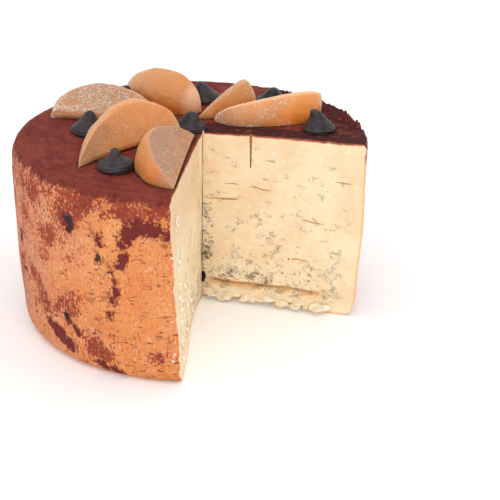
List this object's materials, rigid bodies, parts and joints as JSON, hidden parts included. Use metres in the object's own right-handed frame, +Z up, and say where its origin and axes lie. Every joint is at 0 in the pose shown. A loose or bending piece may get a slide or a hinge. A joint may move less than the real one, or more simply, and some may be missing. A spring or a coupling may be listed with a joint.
{
  "type": "blue cheese wheel",
  "caption": "Tall blue cheese wheel with one wedge cut out, a cocoa-dusted top, candied pear slices and chocolate drops.",
  "frame": {"origin": "middle of the wheel's foot, on the surface it stands on, under the centre of the whole's box", "axes": "+Z up along the wheel's axis; the missing wedge lies between -Y and +X"},
  "size_m": [0.2104, 0.2104, 0.1399],
  "materials": {
    "rind": "dry orange-tan rind with a cocoa-dusted top and a creamy, blue-veined cut",
    "candied_pear": "translucent amber candied fruit with sugar grains",
    "chocolate": "dark, satin, with a slight bloom"
  },
  "bodies": {
    "root": {"cheese_wheel": "rind", "pear_slice_1": "candied_pear", "pear_slice_2": "candied_pear", "pear_slice_3": "candied_pear", "pear_slice_4": "candied_pear", "pear_slice_5": "candied_pear", "pear_slice_6": "candied_pear", "chocolate_drop_1": "chocolate", "chocolate_drop_2": "chocolate", "chocolate_drop_3": "chocolate", "chocolate_drop_4": "chocolate", "chocolate_drop_5": "chocolate", "chocolate_drop_6": "chocolate", "chocolate_drop_7": "chocolate"}
  },
  "joints": []
}
